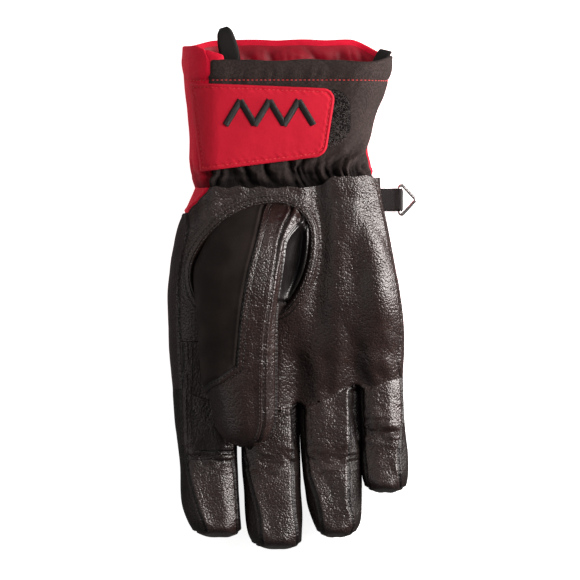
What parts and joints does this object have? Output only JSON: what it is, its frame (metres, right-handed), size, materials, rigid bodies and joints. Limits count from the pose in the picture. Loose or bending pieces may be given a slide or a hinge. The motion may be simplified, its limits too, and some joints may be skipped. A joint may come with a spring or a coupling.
{
  "type": "ski glove",
  "caption": "Insulated leather ski glove for the right hand, with an elasticated wrist, a short cloth cuff, a closure tab, a pull loop and a clip ring.",
  "frame": {"origin": "on the flat back of the hand, under the middle of the palm, with the glove lying on its back", "axes": "+X towards the little finger, +Y from the fingertips to the cuff, +Z out of the palm"},
  "size_m": [0.143, 0.3029, 0.072],
  "materials": {
    "black_leather": "soft grained goatskin with a satin shine",
    "black_suede": "matt brushed suede",
    "red_cloth": "tightly woven matt nylon",
    "grey_softshell": "matt stretch softshell",
    "red_lining": "thin satin lining",
    "fleece_lining": "short brushed fleece",
    "insulation": "lofted fibre padding",
    "membrane": "thin waterproof film",
    "elastic": "flat knitted elastic",
    "hook_and_loop": "short nylon pile",
    "black_thread": "satin-stitched embroidery",
    "black_webbing": "woven polyester tape",
    "dark_metal": "polished dark nickel wire"
  },
  "bodies": {
    "hand": {"palm_panel": "black_leather", "back_panel": "red_cloth", "index_side_panel": "black_leather", "little_side_panel": "black_leather", "hand_insulation": "insulation", "hand_membrane": "membrane", "hand_lining": "fleece_lining", "thumb_welt": "black_leather", "cuff_palm_panel": "grey_softshell", "cuff_back_panel": "red_cloth", "cuff_hem": "grey_softshell", "cuff_lining": "red_lining", "wrist_elastic": "elastic", "loop_patch": "hook_and_loop", "pull_loop": "black_webbing", "leash_loop": "black_webbing", "clip_strap": "black_webbing", "index_patch": "black_leather", "finger_root_insulation": "insulation", "finger_root_lining": "fleece_lining", "index_root": "black_leather", "middle_root": "black_leather", "ring_root": "black_leather", "little_root": "black_leather"},
    "tab": {"closure_tab": "red_cloth", "hook_patch": "hook_and_loop", "tab_emblem": "black_thread"},
    "clip_ring": {"clip_ring": "dark_metal"},
    "thumb": {"thumb_suede_panel": "black_suede", "thumb_leather": "black_leather", "thumb_insulation": "insulation", "thumb_lining": "fleece_lining"},
    "index_tip": {"index_tip_palm_side": "black_leather", "index_tip_back": "black_leather", "index_tip_fourchettes": "black_leather", "index_tip_insulation": "insulation", "index_tip_lining": "fleece_lining"},
    "middle_tip": {"middle_tip_palm_side": "black_leather", "middle_tip_back": "black_leather", "middle_tip_fourchettes": "black_leather", "middle_tip_insulation": "insulation", "middle_tip_lining": "fleece_lining"},
    "ring_tip": {"ring_tip_palm_side": "black_leather", "ring_tip_back": "black_leather", "ring_tip_fourchettes": "black_leather", "ring_tip_insulation": "insulation", "ring_tip_lining": "fleece_lining"},
    "little_tip": {"little_tip_palm_side": "black_leather", "little_tip_back": "black_leather", "little_tip_fourchettes": "black_leather", "little_tip_insulation": "insulation", "little_tip_lining": "fleece_lining"}
  },
  "joints": [
    {"name": "index_curl", "type": "hinge", "parent": "hand", "child": "index_tip", "pos_m": [-0.05027, -0.09861, 0.03062], "axis": [-0.9976, -0.0698, 0], "range_deg": [0, 80]},
    {"name": "middle_curl", "type": "hinge", "parent": "hand", "child": "middle_tip", "pos_m": [-0.01423, -0.1006, 0.03092], "axis": [-0.9976, -0.0698, 0], "range_deg": [0, 80]},
    {"name": "ring_curl", "type": "hinge", "parent": "hand", "child": "ring_tip", "pos_m": [0.02043, -0.09862, 0.03037], "axis": [-0.9976, -0.0698, 0], "range_deg": [0, 80]},
    {"name": "little_curl", "type": "hinge", "parent": "hand", "child": "little_tip", "pos_m": [0.04999, -0.08366, 0.02848], "axis": [-0.9976, -0.0698, 0], "range_deg": [0, 80]},
    {"name": "thumb_lift", "type": "hinge", "parent": "hand", "child": "thumb", "pos_m": [-0.014, 0.044, 0.0484], "axis": [-1, 0, 0], "range_deg": [0, 60]},
    {"name": "tab_open", "type": "hinge", "parent": "hand", "child": "tab", "pos_m": [-0.061, 0.119, 0.0444], "axis": [0.1364, -0.9898, -0.0409], "range_deg": [0, 150]},
    {"name": "ring_swing", "type": "hinge", "parent": "hand", "child": "clip_ring", "pos_m": [0.0605, 0.051, 0.0022], "axis": [0, -1, 0], "range_deg": [-95, 95]}
  ]
}
